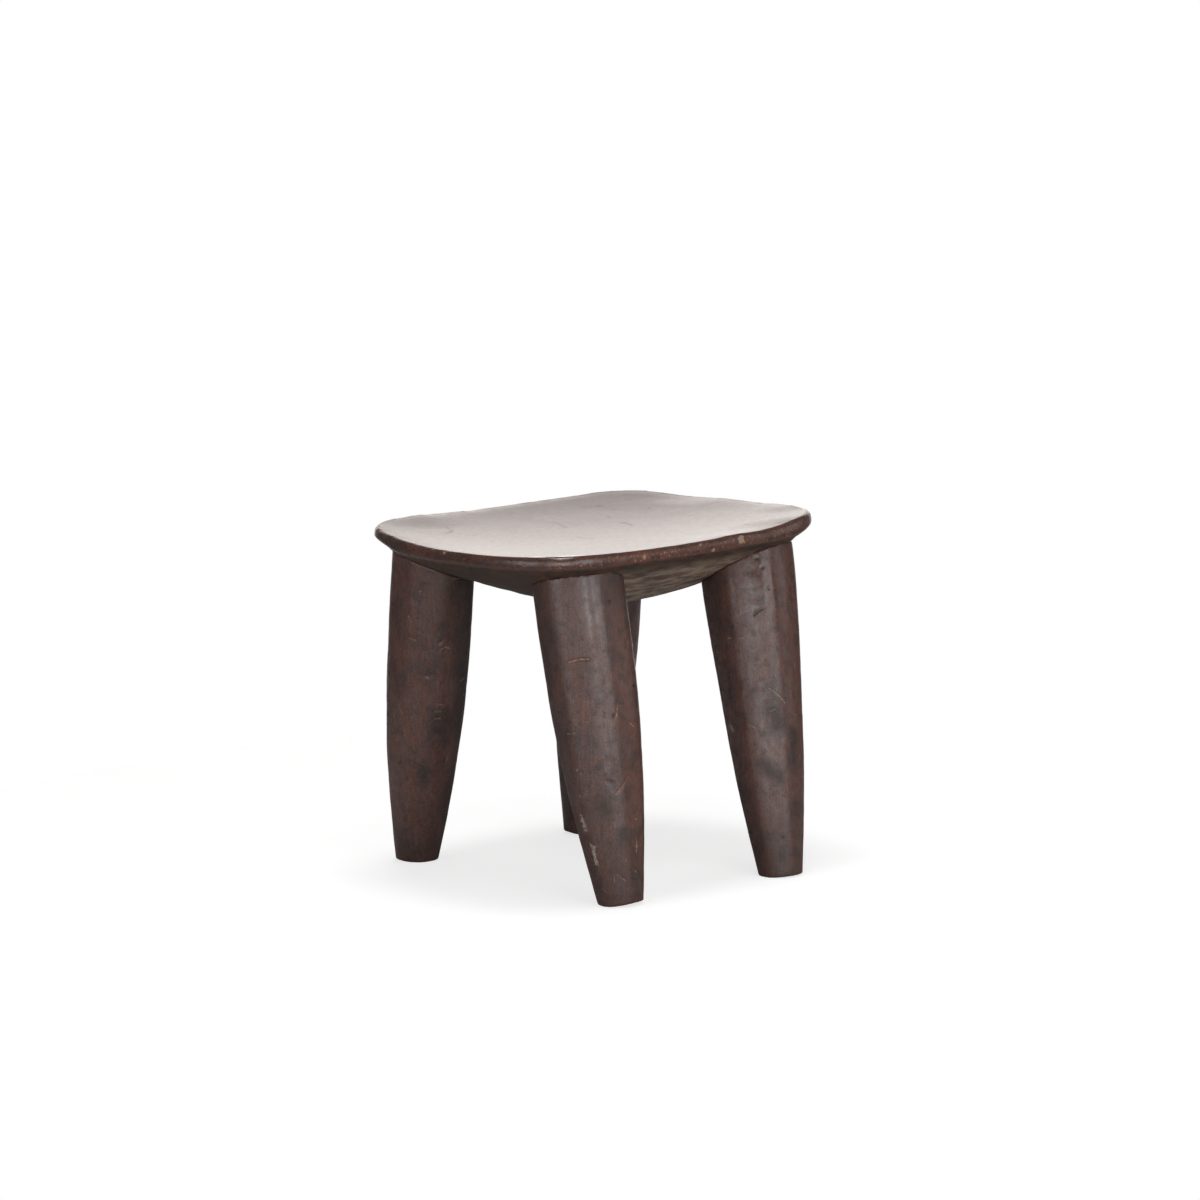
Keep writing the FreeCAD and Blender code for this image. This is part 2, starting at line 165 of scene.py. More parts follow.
# Marks on the legs: each kind has a width, a depth and the colour field that it paints
MARK_KINDS = {
    "cut": (2.8, 0.7, "line"),
    "scratch": (2.2, 0.2, "line"),
    "fleck": (2.4, 0.2, "bare"),
    "chip": (7.0, 0.5, "pale"),
    "dent": (5.0, 0.6, None),
    "pit": (2.5, 0.5, "stain_and_shade"),
    "smudge": (16.0, 0.1, "stain_and_shade"),
    "knot": (24.0, 0.3, "stain_and_shade"),
    # shade is painted shade: a dark patch at a leg's top, under the seat
    "shade": (60.0, 0.0, "stain_and_shade"),
    "polish": (60.0, 0.0, "gloss"),
    "sheen": (26.0, 0.0, "gloss"),
}
# Colour fields that fade out, and those that hold how deep a point lies inside a mark
FADING_FIELDS = ("stain_and_shade", "gloss", "worn")
DEPTH_FIELDS = ("bare", "pale", "line")
# How far a mark's slope reaches out of it, and how ragged its edge is: depth, size and step of the seed
MARK_LIP = 0.6
MARK_RAGGED = 0.5
MARK_RAGGED_SIZE = 2.5
MARK_RAGGED_STEP = 2
# How many times more ragged stains, painted shade and gloss are
FADING_RAGGED = 6

# Marks that the photograph shows, as (height, turn about the leg) paths; the shade marks are painted shade
# under the seat
LEG_MARKS = {
    "leg_front_right": [
        ("shade", [(325, 30)]),
        ("sheen", [(318, -25), (285, -27)]),
        ("cut", [(243, -65), (246, -51), (246, -39)]),
        ("fleck", [(272, 5)]),
        ("fleck", [(318, -55)]),
        ("scratch", [(202, -8), (189, -13)]),
        ("knot", [(97, -46)]),
        ("scratch", [(129, -1), (113, -25)]),
        ("chip", [(88, -88), (78, -87)]),
        ("chip", [(60, -79), (45, -78)]),
        ("fleck", [(111, -83)]),
        ("fleck", [(133, -73)]),
        ("fleck", [(86, 10)]),
        ("fleck", [(80, 1)]),
        ("fleck", [(64, 11), (53, 9)]),
        ("fleck", [(34, 5)]),
        ("fleck", [(8, 5)]),
        ("smudge", [(24, -4)]),
        ("smudge", [(72, -19)]),
        ("scratch", [(34, -41), (27, -23)]),
    ],
    "leg_front_left": [
        ("shade", [(315, 5), (275, 25)]),
        ("knot", [(150, -17), (142, -17)]),
        ("scratch", [(169, -24), (169, -14)]),
        ("scratch", [(162, -26), (162, -17)]),
        ("scratch", [(154, -25), (154, -16)]),
        ("scratch", [(131, -93), (130, -88)]),
        ("scratch", [(153, -98), (158, -95)]),
        ("scratch", [(163, -80), (159, -77)]),
        ("scratch", [(112, 4), (104, 3)]),
        ("scratch", [(226, -25), (229, -17), (227, -10)]),
        ("scratch", [(239, -71), (237, -60)]),
        ("scratch", [(262, -73), (256, -67)]),
        ("smudge", [(249, -20)]),
    ],
    "leg_back_right": [
        ("shade", [(320, -110)]),
        ("polish", [(290, -21)]),
        ("dent", [(287, -17)]),
        ("dent", [(308, -23)]),
        ("dent", [(317, -29)]),
        ("pit", [(262, -39), (265, -34), (268, -28)]),
        ("scratch", [(189, -29), (183, -19), (173, -7)]),
        ("scratch", [(238, -79), (238, -73)]),
        ("scratch", [(239, -61), (239, -55)]),
        ("pit", [(246, -11)]),
        ("scratch", [(221, -93), (216, -89)]),
        ("scratch", [(207, -111), (203, -106)]),
        ("scratch", [(196, -104), (196, -98)]),
        ("smudge", [(140, 6), (108, 6)]),
        ("smudge", [(112, -50), (100, -26)]),
        ("scratch", [(166, -31), (168, -23)]),
        ("knot", [(66, 6)]),
        ("smudge", [(21, -33)]),
        ("chip", [(147, -106), (146, -103)]),
    ],
    "leg_back_left": [],
}

# Marks of use that are scattered over every leg: kind, count and greatest length
RANDOM_MARKS = (
    ("scratch", 7, 11.0),
    ("fleck", 4, 1.0),
    ("dent", 12, 5.0),
    ("pit", 8, 3.0),
    ("smudge", 1, 20.0),
)
# Their heights, the share of the greatest length that they have, and degrees about a leg per millimetre
RANDOM_HEIGHTS = (8, 300)
RANDOM_LENGTHS = (0.3, 1.0)
TURN_PER_MM = 1.5

# The seat: the heights between which the rim stands
RIM_LOW = 336.0
RIM_HIGH = 346.0
# How far up normals look on the dish and on the whole top, and how far down underneath: from none to all
DISH_FACING = (0.95, 0.98)
TOP_FACING = (0.5, 0.9)
HULL_FACING = (0.1, 0.5)
# Heights above the rim's foot between which the underside gives way to the rim
RIM_STARTS = (-4.0, 1.0)

# How the carver's rim runs off the even one: place, reach, rise of the top edge and rise of the lower edge
RIM_SHIFTS = (
    (-163, -100, 70, 1.8, 2.0),
    (-125, -192, 75, 0.0, 7.5),
    (-75, 203, 60, -1.6, -1.0),
    (80, 203, 50, 1.6, 0.0),
    (164, 95, 60, -2.4, 0.0),
    (140, 168, 60, 0.0, 4.5),
)
# How the hull's lowest line runs off the even one: place, reach and rise, in full this far below the rim
HULL_SHIFT = (-45, -80, 85, 2.8)
HULL_SHIFT_DROP = 20
# How far from the leg heads those shifts have their full size
CLEAR_OF_LEGS = 10.0

# Rounds of smoothing for the dish and the rim, and how far round the rim its smoothing spreads
DISH_ROUNDS = 80
RIM_ROUNDS = 12
RIM_SPREAD_ROUNDS = 8
RIM_SPREAD = (0.02, 0.3)
# What the rim is given back in width and height after its smoothing
RIM_WIDENING = 0.9
RIM_RAISING = 0.7

# The adze's hollows underneath, drawn out aslant: depth, size and seed, and their stretch
HULL_HOLLOWS = (0.3, 16.0, 11)
HULL_STRETCH = 0.3
# Unevenness of the top and the rim: part of the seat, depth, size and seed
SEAT_HOLLOWS = (
    ("above", 0.07, 35.0, 12),
    ("rim", 0.15, 18.0, 13),
    ("rim", 0.05, 6.0, 16),
)

# Chips on the rim, with the bare wood showing: place and size
RIM_CHIPS = (
    (-6, -204, 347, 2.0),
    (13, -205, 345, 3.0),
    (90, -192, 346, 1.2),
    (112, -186, 340, 1.8),
    (140, -165, 338, 1.8),
    (150, -148, 338, 1.5),
    (154, -139, 340, 1.5),
    (41, -203, 341, 1.3),
    (94, -192, 337, 1.3),
    (164.5, 49, 342, 4.5),
    (166, 10, 336, 3.0),
    (162, -77, 340, 2.5),
    (160, -96, 343, 2.0),
    (166, -6, 343, 2.5),
)
# How deep they go, how far out and in their slope reaches, and how ragged they are: depth, size and seed
CHIP_DEPTH = 0.7
CHIP_SLOPE = (-1.0, 2.0)
CHIP_RAGGED = (1.5, 4.0, 14)

# Parts of the rim that hands have polished, each round a small worn flat: place and size
RIM_POLISH = (
    (145, -155, 347, 18),
    (121, -179, 347, 12),
)
# Where those flats look, in degrees about the stool and above the level, and how deep they go
FLAT_TURN = -41.0
FLAT_LEAN = 52.0
FLAT_DEPTH = 0.7
# The share of its size where a flat is full, and the rounds that soften its edge
FLAT_FULL = 0.6
FLAT_ROUNDS = 3

# Scratches and small pits on the top, as paths of places
TOP_MARKS = (
    ((-107, 83), (-105, 103)),
    ((-81, 9), (-65, 9), (-47, 7)),
    ((-27, 61), (1, 53)),
    ((5, -25), (29, -27)),
    ((-101, -105), (-88, -109), (-76, -123)),
    ((-66, -103), (-62, -105)),
    ((113, 103), (118, 103)),
    ((-61, 71), (-57, 73)),
    ((-59, 123), (-55, 123)),
)
TOP_MARK_WIDTH = 2.6
TOP_MARK_DEPTH = 0.1
TOP_MARK_STRENGTH = 0.5
# How far those marks wander, over what size, and the seeds of both directions
TOP_MARK_WANDER = 4.0
TOP_MARK_WANDER_SIZE = 8.0
TOP_MARK_SEEDS = (21, 22)

# The side of the seat with a worn finish: turns about the stool where it starts and ends, from none to full
WORN_SIDE_START = (-55.0, -30.0)
WORN_SIDE_END = (60.0, 35.0)
# How worn the rest of the rim is where it stands out, and how far a point has to stand out for it
RIM_WEAR = 0.15
RIM_STANDS_OUT = (0.2, 0.8)
# How far points lie back where grime gathers, and the rounds that find what stands out and lies back
GRIME_LIES_BACK = (0.05, 0.3)
SEAT_BULGE_ROUNDS = 10
# The width of the painted shade on the underside round each leg head
SEAM_SHADE_WIDTH = 8.0
# Soot on the unworn rim: its strength, the size and seed of its patches, and the noise from none to full
RIM_SOOT = 0.45
RIM_SOOT_PATCHES = (14.0, 17)
RIM_SOOT_NOISE = (-0.6, 0.4)
# How polished the unworn rim and its flats are, and over what width the flats' polish fades
RIM_GLOSS = 0.6
POLISH_FADE = 6.0
# Heights from the rim's foot, going down, where the hewn side of the underside, partly a painted pool of
# light, starts and is full
HEWN_AND_LIT_DROP = (-6.0, -22.0)

# Colours of the carved wood
DEEP_BROWN = (0.086, 0.045, 0.038, 1.0)
CHARCOAL = (0.057, 0.032, 0.029, 1.0)
# Soot, which also paints shade: the legs' shade marks and darker sides, the seams round the leg heads and
# the underside
SOOT_AND_SHADE = (0.018, 0.012, 0.010, 1.0)
RED_BROWN = (0.112, 0.037, 0.021, 1.0)
BARE_WOOD = (0.38, 0.22, 0.14, 1.0)
PALE_WOOD = (0.27, 0.22, 0.18, 1.0)
HULL_BROWN = (0.070, 0.029, 0.012, 1.0)
# Paler hewn wood under the seat's worn side, partly a painted pool of light where the side lamps fall
HEWN_AND_LIT_WOOD = (0.30, 0.22, 0.16, 1.0)

# Scales that draw out the grain of the legs, the seat and the wedges, and the least one for patches
LEG_GRAIN = (1, 1, 0.1)
SEAT_GRAIN = (1, 0.06, 1)
WEDGE_GRAIN = (1, 1, 0.08)
PATCH_STRETCH = 0.35

# Textures of the carved wood: how their places are drawn out, their size in millimetres and their detail
TEXTURES = {
    "patches": ("even", 30.0, 3.0),
    "mottle": ("even", 8.0, 4.0),
    "reds": ("patchy", 12.0, 4.0),
    "streaks": ("grain", 2.5, 3.0),
    "strokes": ("patchy", 2.5, 2.0),
    "fine": ("even", 1.5, 2.0),
    "dust": ("even", 2.6, 3.0),
    "crackle": ("even", 14.0, 3.0),
}
TEXTURE_ROUGHNESS = 0.6

# Shares and shades drawn from those textures: the texture, its range, and the range that this becomes
SHARES = {
    "brown": ("patches", 0.38, 0.58, 0.0, 1.0),
    "red": ("reds", 0.46, 0.68, 0.0, 0.45),
    "soot": ("mottle", 0.54, 0.68, 0.0, 0.45),
    "grain": ("streaks", 0.3, 0.7, 0.85, 1.15),
    "fine_grain": ("fine", 0.3, 0.7, -0.25, 0.25),
    "worn": ("mottle", 0.38, 0.62, 0.3, 0.85),
    "worn_soot": ("crackle", 0.48, 0.6, 0.0, 0.5),
    "dark": ("mottle", 0.35, 0.6, 0.9, 0.55),
    "hull": ("mottle", 0.35, 0.65, 0.0, 1.0),
    "hewn_and_lit": ("reds", 0.36, 0.66, 0.1, 0.9),
    "fine_ragged": ("fine", 0.3, 0.7, -0.5, 0.5),
    "dust_ragged": ("dust", 0.35, 0.65, -1.0, 0.7),
    "specks": ("dust", 0.58, 0.68, 0.0, 0.6),
    "line": ("dust", 0.35, 0.6, 0.15, 0.55),
    "uneven_gloss": ("mottle", 0.35, 0.65, -0.06, 0.06),
    "top_gloss": ("strokes", 0.3, 0.7, -0.02, 0.02),
}

# Fine red lines where the crackle passes its middle: the width of a line in the noise and its strength
CRACKLE_MIDDLE = 0.5
CRACKLE_WIDTH = 0.03
CRACKLE_SHARE = 0.6

# Marks in the wood: where they start and are full, in millimetres, and the most they show
BARE_FULL = 1.2
BARE_SHARE = 0.7
LINE_STARTS = 0.2
LINE_FULL = 0.9
PALE_FULL = 1.0
PALE_SHARE = 0.85
# How many times more ragged the pale chips are
PALE_RAGGED = 2.5

# Roughness of the carved wood, and how the top, dark places, the dull underside and polish change it
LEG_ROUGHNESS = 0.38
SEAT_ROUGHNESS = 0.34
TOP_POLISH = 0.04
DARK_DULLNESS = 0.6
DULL_ROUGHNESS = 0.35
POLISH_ROUGHNESS = 0.2
WOOD_IOR = 1.5

# Relief of the carved wood: its depth, the share of the finest grain, and its strength rough and polished
RELIEF_DEPTH = 0.25 * MM
FINE_RELIEF = 0.5
ROUGH_RELIEF = 0.55
POLISHED_RELIEF = 0.22

# The wedges' plain wood: two colours, the width of a streak, its detail, and its noise and roughness
WEDGE_DARK = (0.25, 0.14, 0.07, 1.0)
WEDGE_LIGHT = (0.45, 0.29, 0.16, 1.0)
WEDGE_STREAK = 2 * MM
WEDGE_DETAIL = 3.0
WEDGE_NOISE = (0.3, 0.7)
WEDGE_ROUGHNESS = (0.55, 0.75)


def smooth_step(start, full, values):
    """Zero at start and before it, one at full and past it, with an eased slope between."""
    share = np.clip((values - start) / (full - start), 0, 1)
    return share * share * (3 - 2 * share)


def noise(points, size, seed):
    """Smooth random values from -1 to 1 that change over about that size."""
    lattice = 32
    table = np.random.default_rng(seed).uniform(-1, 1, (lattice,) * 3)
    cells = points / size
    base = np.floor(cells).astype(int)
    part = cells - base
    ease = part * part * (3 - 2 * part)
    total = np.zeros(len(points))
    for corner in product((0, 1), repeat=3):
        weight = np.prod(np.where(corner, ease, 1 - ease), axis=1)
        index = (base + corner) % lattice
        total += weight * table[tuple(index.T)]
    return total


def path_distance(places, path):
    """How far places on a flat or unrolled surface lie from a path of straight steps."""
    # Keeps a path of one point from dividing by zero
    least_square = 0.01
    nearest = np.full(len(places), np.inf)
    for start, end in zip(path, path[1:] if len(path) > 1 else path):
        step = np.subtract(end, start)
        offset = places - start
        share = np.clip(offset @ step / max(step @ step, least_square), 0, 1)
        nearest = np.minimum(nearest, np.linalg.norm(offset - share[:, None] * step, axis=1))
    return nearest


class Surface:
    """A dense, even copy of a CAD node's mesh that is carved as arrays, in millimetres."""

    def __init__(self, node, voxel):
        self.node = node
        self.piece = bpy.data.objects.new(node + "_carved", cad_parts[node].data.copy())
        bpy.context.scene.collection.objects.link(self.piece)
        remesh = self.piece.modifiers.new("even mesh", "REMESH")
        remesh.mode = "VOXEL"
        remesh.voxel_size = voxel
        remesh.use_smooth_shade = True
        depsgraph = bpy.context.evaluated_depsgraph_get()
        self.mesh = bpy.data.meshes.new_from_object(self.piece.evaluated_get(depsgraph))
        self.mesh.name = self.piece.name
        self.piece.modifiers.clear()
        self.piece.data = self.mesh
        self.points = self.read("vertices", "co", 3) / MM
        self.edges = self.read("edges", "vertices", 2).astype(int)
        self.links = np.bincount(self.edges.ravel(), minlength=len(self.points))
        self.settle()

    def read(self, owner, name, width):
        """One property of all vertices or edges, as an array of that width."""
        items = getattr(self.mesh, owner)
        kind = np.int32 if owner == "edges" else np.float32
        flat = np.empty(len(items) * width, kind)
        items.foreach_get(name, flat)
        return flat.reshape(-1, width).astype(float)

    def write(self):
        """Puts the points as they are now into the mesh."""
        self.mesh.vertices.foreach_set("co", (self.points * MM).astype(np.float32).ravel())
        self.mesh.update()

    def normals(self):
        """Unit normals at the points as they are now."""
        self.write()
        return self.read("vertices", "normal", 3)

    def around(self, values):
        """The mean value of each point's neighbours."""
        first, second = self.edges.T
        count = len(self.links)
        columns = values.reshape(count, -1)
        means = np.empty_like(columns)
        for place, column in enumerate(columns.T):
            total = np.bincount(first, column[second], count) + np.bincount(second, column[first], count)
            means[:, place] = total / self.links
        return means.reshape(values.shape)

    def settle(self):
        """Takes out the steps of the even mesh and keeps its size."""
        for _ in range(SETTLE_ROUNDS):
            for share in SETTLE_SHARES:
                self.points += share * (self.around(self.points) - self.points)

    def soften(self, rounds, weight):
        """Moves the points towards their neighbours, which rounds edges."""
        for _ in range(rounds):
            self.points += SOFTEN_SHARE * weight[:, None] * (self.around(self.points) - self.points)

    def push(self, amount):
        """Moves the points along their normals, outwards where amount is above zero."""
        self.points += self.normals() * amount[:, None]

    def bulge(self, rounds):
        """How far each point stands out of its surroundings."""
        level = self.points.copy()
        for _ in range(rounds):
            level += SOFTEN_SHARE * (self.around(level) - level)
        return ((self.points - level) * self.normals()).sum(1)

    def finish(self, fields):
        """Stores the fields for the material to read, and lets the piece stand for its node."""
        for name, values in fields.items():
            stored = self.mesh.attributes.new(name, "FLOAT", "POINT")
            stored.data.foreach_set("value", values.astype(np.float32))
        self.write()
        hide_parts(self.node)
        return self.piece


def turn_apart(turn, other):
    """Degrees between two turns, the short way round."""
    return np.abs((turn - other + 180) % 360 - 180)


def middle_at(heights, low, high):
    """Where a slanting middle line through two points passes those heights."""
    share = (heights - low[2]) / (high[2] - low[2])
    return low[:2] + share[:, None] * (high[:2] - low[:2])


def leg_places(surface):
    """The radius and turn of a leg's points about its slanting middle line, and that line's points."""
    centres = []
    for height in RING_HEIGHTS:
        ring = surface.points[np.abs(surface.points[:, 2] - height) < RING_REACH, :2]
        sides = np.column_stack([2 * ring, np.ones(len(ring))])
        circle = np.linalg.lstsq(sides, (ring ** 2).sum(1), rcond=None)[0]
        centres.append((*circle[:2], height))
    middle = middle_at(surface.points[:, 2], *np.array(centres))
    offset = surface.points[:, :2] - middle
    turn = np.degrees(np.arctan2(offset[:, 1], offset[:, 0]))
    return np.hypot(*offset.T), turn, middle


def cut_facets(surface, radius, turn, middle, outside):
    """Brings the round leg down to the adze's long flats, with softened edges between them."""
    first_turn, taken = FACETS[surface.node]
    half_flat = 180 / FACET_COUNT
    off_flat = (turn - first_turn + half_flat) % (2 * half_flat) - half_flat
    flat = radius * (1 - taken) / np.cos(np.radians(off_flat))
    left = -FACET_EDGE * np.logaddexp(-radius / FACET_EDGE, -flat / FACET_EDGE)
    inwards = (middle - surface.points[:, :2]) / np.maximum(radius, 1.0)[:, None]
    surface.points[:, :2] += inwards * ((radius - left) * outside)[:, None]


def wear_foot(surface, turn):
    """Takes away some of the foot's lower edge on its most worn side."""
    worst, loss = FOOT_WEAR[surface.node]
    side = smooth_step(*FOOT_WEAR_TURNS, turn_apart(turn, worst))
    surface.points[:, 2] += loss * side * smooth_step(FOOT_WEAR_HEIGHT, 0.0, surface.points[:, 2])


def random_marks(seed):
    """Small marks spread over a whole leg, as a life of use leaves them."""
    random = np.random.default_rng(seed)
    marks = []
    for kind, count, longest in RANDOM_MARKS:
        for _ in range(count):
            height = random.uniform(*RANDOM_HEIGHTS)
            turn = random.uniform(-180, 180)
            length = longest * random.uniform(*RANDOM_LENGTHS)
            lean = random.uniform(0, 2 * pi)
            end = (height + length * sin(lean), turn + TURN_PER_MM * length * cos(lean))
            marks.append((kind, [(height, turn), end]))
    return marks


def unrolled(heights, turns):
    """Heights and turns about a leg as flat places in millimetres."""
    return np.column_stack([heights, np.radians(turns) * LEG_RADIUS])


def mark_leg(surface, turn, seed):
    """How deep a leg's marks go at each of its points, and the colour fields that they paint."""
    ragged = MARK_RAGGED * noise(surface.points, MARK_RAGGED_SIZE, seed + MARK_RAGGED_STEP)
    places = unrolled(surface.points[:, 2], turn)
    fields = {name: np.zeros(len(turn)) for name in FADING_FIELDS}
    fields |= {name: np.full(len(turn), UNMARKED) for name in DEPTH_FIELDS}
    depth = np.zeros(len(turn))
    for kind, path in LEG_MARKS[surface.node] + random_marks(seed):
        width, deep, colour = MARK_KINDS[kind]
        inside = width / 2 - path_distance(places, unrolled(*zip(*path)))
        depth = np.maximum(depth, deep * smooth_step(-MARK_LIP, width / 2, inside))
        if colour is None:
            continue
        if colour in FADING_FIELDS:
            paint = smooth_step(-width / 2, width / 2, inside + FADING_RAGGED * ragged)
        elif colour == "line":
            paint = inside
        else:
            paint = inside + ragged
        fields[colour] = np.maximum(fields[colour], paint)
    return depth, fields


def colour_leg(surface, turn, seed, fields):
    """Adds the leg's redder sides, its sides darkened with painted shade, its dark foot, its worn edges and
    its grime to the fields.
    """
    for colour, side_turn, spread, strength in LEG_SIDES[surface.node]:
        wander = SIDE_WANDER * noise(surface.points, SIDE_WANDER_SIZE, seed + SIDE_WANDER_STEP)
        aside = turn_apart(turn, side_turn) + wander
        side = strength * smooth_step(spread, SIDE_FULL * spread, aside)
        fields[colour] = np.maximum(fields[colour], side)
    dark_foot = FOOT_DARKNESS * smooth_step(*FOOT_DARK_HEIGHTS, surface.points[:, 2])
    fields["stain_and_shade"] = np.maximum(fields["stain_and_shade"], dark_foot)
    stands_out = surface.bulge(LEG_BULGE_ROUNDS)
    fields["worn"] = np.maximum(fields["worn"], smooth_step(*LEG_STANDS_OUT, stands_out))
    fields["grime_and_shade"] = smooth_step(*LEG_STANDS_OUT, -stands_out)
    fields["gloss"] *= LEG_POLISH


def carve_leg(node, seed):
    """One leg with facets, hollows, a worn foot and marks, and the ends of its middle line."""
    surface = Surface(node, LEG_VOXEL)
    radius, turn, middle = leg_places(surface)
    outside = smooth_step(*LEG_SKIN, radius)
    cut_facets(surface, radius, turn, middle, outside)
    wear_foot(surface, turn)
    heights = surface.points[:, 2]
    ends = np.column_stack([middle, heights])[np.argsort(heights)[[0, -1]]]
    for depth, size, step in LEG_HOLLOWS:
        surface.push(depth * outside * noise(surface.points, size, seed + step))
    depth, fields = mark_leg(surface, turn, seed)
    surface.push(-depth * outside)
    colour_leg(surface, turn, seed, fields)
    return surface.finish(fields), ends


def beside_legs(points, leg_lines):
    """How far points lie outside the nearest leg's head, in millimetres."""
    nearest = np.full(len(points), np.inf)
    for low, high in leg_lines:
        middle = middle_at(points[:, 2], low, high)
        nearest = np.minimum(nearest, np.hypot(*(points[:, :2] - middle).T))
    return nearest - LEG_HEAD_RADIUS


def shift_rim(surface, leg_lines):
    """Lets the rim and the hull run a little off the even shape, clear of the leg heads."""
    x, y, z = surface.points.T.copy()
    clear = smooth_step(0.0, CLEAR_OF_LEGS, beside_legs(surface.points, leg_lines))
    high = smooth_step(RIM_LOW, RIM_HIGH, z)
    for place_x, place_y, reach, top_rise, low_rise in RIM_SHIFTS:
        near = smooth_step(reach, 0.0, np.hypot(x - place_x, y - place_y))
        surface.points[:, 2] += near * (high * top_rise + (1 - high) * clear * low_rise)
    place_x, place_y, reach, rise = HULL_SHIFT
    near = smooth_step(reach, 0.0, np.hypot(x - place_x, y - place_y))
    surface.points[:, 2] += rise * near * smooth_step(RIM_LOW, RIM_LOW - HULL_SHIFT_DROP, z) * clear


def seat_zones(surface):
    """How much each point of the seat belongs to its underside, its top and its rim."""
    facing = surface.normals()[:, 2]
    start, full = RIM_STARTS
    above = smooth_step(*TOP_FACING, facing)
    rim = (1 - above) * smooth_step(RIM_LOW + start, RIM_LOW + full, surface.points[:, 2])
    below = smooth_step(*HULL_FACING, -facing) * (1 - rim)
    return {"below": below, "above": above, "rim": rim}


def round_rim(surface, rim):
    """Rounds the rim's edges, and gives it back the width and height that this takes."""
    edge = rim
    for _ in range(RIM_SPREAD_ROUNDS):
        edge = surface.around(edge)
    edge = smooth_step(*RIM_SPREAD, edge)
    surface.soften(RIM_ROUNDS, edge)
    surface.points[:, :2] += RIM_WIDENING * edge[:, None] * surface.normals()[:, :2]
    surface.points[:, 2] += RIM_RAISING * edge * smooth_step(RIM_LOW, RIM_HIGH, surface.points[:, 2])


def roughen_seat(surface, zones):
    """Adze hollows underneath, a slightly wavy top and an uneven rim."""
    x, y, z = surface.points.T.copy()
    slant = np.column_stack([x + y, HULL_STRETCH * (x - y), z])
    depth, size, seed = HULL_HOLLOWS
    surface.push(depth * zones["below"] * noise(slant, size, seed))
    for zone, depth, size, seed in SEAT_HOLLOWS:
        surface.push(depth * zones[zone] * noise(surface.points, size, seed))


def chip_field(points, chips, ragged=0.0):
    """How deep each point lies inside the nearest chip or patch, below zero outside all of them."""
    field = np.full(len(points), UNMARKED)
    for *place, size in chips:
        gap = np.linalg.norm(points - place, axis=1)
        field = np.maximum(field, size - gap + ragged)
    return field


def wear_flats(surface):
    """Rubs small flats into the rim's edge."""
    turn, lean = radians(FLAT_TURN), radians(FLAT_LEAN)
    outwards = np.array([cos(turn) * cos(lean), sin(turn) * cos(lean), sin(lean)])
    for *place, size in RIM_POLISH:
        near = smooth_step(size, FLAT_FULL * size, np.linalg.norm(surface.points - place, axis=1))
        reach = surface.points @ outwards
        loss = near * np.maximum(reach - reach[near > 0].max() + FLAT_DEPTH, 0)
        surface.points -= outwards * loss[:, None]
        surface.soften(FLAT_ROUNDS, near)


def scratch_top(surface, above):
    """Cuts the marks on the top, and tells how strong they are at each point."""
    wander = [noise(surface.points, TOP_MARK_WANDER_SIZE, seed) for seed in TOP_MARK_SEEDS]
    places = surface.points[:, :2] + TOP_MARK_WANDER * np.column_stack(wander)
    distance = np.min([path_distance(places, path) for path in TOP_MARKS], axis=0)
    scratched = TOP_MARK_STRENGTH * above * smooth_step(TOP_MARK_WIDTH, 0.0, distance)
    surface.push(-TOP_MARK_DEPTH * scratched)
    return scratched


def chip_rim(surface):
    """Breaks the chips out of the rim, and tells how deep each point lies inside them."""
    depth, size, seed = CHIP_RAGGED
    bare = chip_field(surface.points, RIM_CHIPS, depth * noise(surface.points, size, seed))
    surface.push(-CHIP_DEPTH * smooth_step(*CHIP_SLOPE, bare))
    return bare


def carve_seat(leg_lines):
    """The seat with a smoothed dish, an uneven, worn and chipped rim and a roughly hewn underside."""
    surface = Surface("seat", SEAT_VOXEL)
    surface.soften(DISH_ROUNDS, smooth_step(*DISH_FACING, surface.normals()[:, 2]))
    shift_rim(surface, leg_lines)
    zones = seat_zones(surface)
    below, above, rim = zones.values()
    round_rim(surface, rim)
    x, y, z = surface.points.T.copy()
    roughen_seat(surface, zones)
    wear_flats(surface)
    scratched = scratch_top(surface, above)
    bare = chip_rim(surface)

    around = np.degrees(np.arctan2(y, x))
    side = smooth_step(*WORN_SIDE_START, around) * smooth_step(*WORN_SIDE_END, around)
    stands_out = surface.bulge(SEAT_BULGE_ROUNDS)
    worn = np.maximum(RIM_WEAR * smooth_step(*RIM_STANDS_OUT, stands_out), side)
    sooty = smooth_step(*RIM_SOOT_NOISE, noise(surface.points, *RIM_SOOT_PATCHES))
    # Painted shade on the underside round each leg head, carried with the grime
    seam_shade = below * smooth_step(SEAM_SHADE_WIDTH, 0.0, beside_legs(surface.points, leg_lines))
    hollow = smooth_step(*GRIME_LIES_BACK, -stands_out) * (1 - above)
    polish = smooth_step(0.0, POLISH_FADE, chip_field(surface.points, RIM_POLISH))
    hewn_lit_start, hewn_lit_full = HEWN_AND_LIT_DROP
    fields = {
        "bare": bare,
        "pale": np.full(len(bare), UNMARKED),
        "worn": rim * worn,
        "fleck": rim * side,
        "stain_and_shade": RIM_SOOT * rim * (1 - side) * sooty,
        "grime_and_shade": np.max([hollow, seam_shade, scratched], axis=0),
        "gloss": RIM_GLOSS * np.maximum(polish, rim * (1 - side)),
        "rough": below,
        "hewn_and_lit": below * side * smooth_step(RIM_LOW + hewn_lit_start, RIM_LOW + hewn_lit_full, z),
        "top": above,
    }
    return surface.finish(fields)


def add_node(tree, kind, inputs=None, **settings):
    """A shader node with its settings and inputs: a socket is linked and any other value is set."""
    node = tree.nodes.new(kind)
    for name, value in settings.items():
        setattr(node, name, value)
    for name, value in (inputs or {}).items():
        if isinstance(value, bpy.types.NodeSocket):
            tree.links.new(value, node.inputs[name])
        else:
            node.inputs[name].default_value = value
    return node


